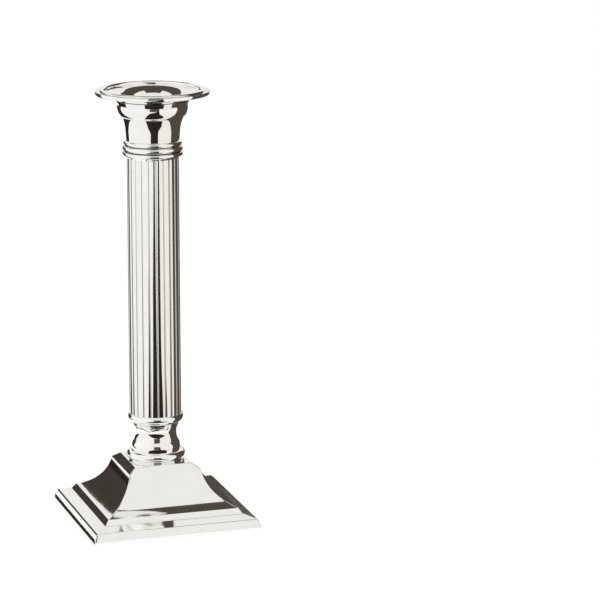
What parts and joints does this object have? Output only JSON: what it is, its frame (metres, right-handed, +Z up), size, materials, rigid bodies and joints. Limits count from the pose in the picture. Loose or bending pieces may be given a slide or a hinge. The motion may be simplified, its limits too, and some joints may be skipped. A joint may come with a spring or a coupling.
{
  "type": "candlestick",
  "caption": "Square-based silver column candlestick with a reeded shaft, a bell capital and a lift-out nozzle that holds one taper candle.",
  "frame": {"origin": "centre of the felt underside, on the surface that the candlestick stands on", "axes": "+Z up along the column, X and Y along the sides of the square base"},
  "size_m": [0.098, 0.098, 0.25],
  "materials": {
    "silver_plate": "mirror-polished silver plate, slightly warm",
    "bare_brass": "turned, unplated",
    "steel": "zinc-bright steel",
    "loading": "cast filling, matt",
    "felt": "short felt"
  },
  "bodies": {
    "stand": {"felt_pad": "felt", "base_plate": "steel", "ballast": "loading", "pedestal_shell": "silver_plate", "base_ring": "silver_plate", "spool": "silver_plate", "column_foot_ring": "silver_plate", "lower_plug": "bare_brass", "column_tube": "silver_plate", "upper_plug": "bare_brass", "neck_collar": "silver_plate", "bridge_plate": "bare_brass", "capital": "silver_plate", "socket": "bare_brass", "tie_rod": "steel", "bottom_nut": "steel", "lock_washer": "steel", "bottom_washer": "steel", "top_washer": "steel", "top_nut": "steel"},
    "nozzle": {"drip_pan": "silver_plate", "rim_moulding": "silver_plate", "candle_cup": "silver_plate", "locating_collar": "bare_brass"}
  },
  "joints": [
    {"name": "nozzle_lift", "type": "slide", "parent": "stand", "child": "nozzle", "axis": [0, 0, 1], "range_m": [0, 0.035]}
  ]
}
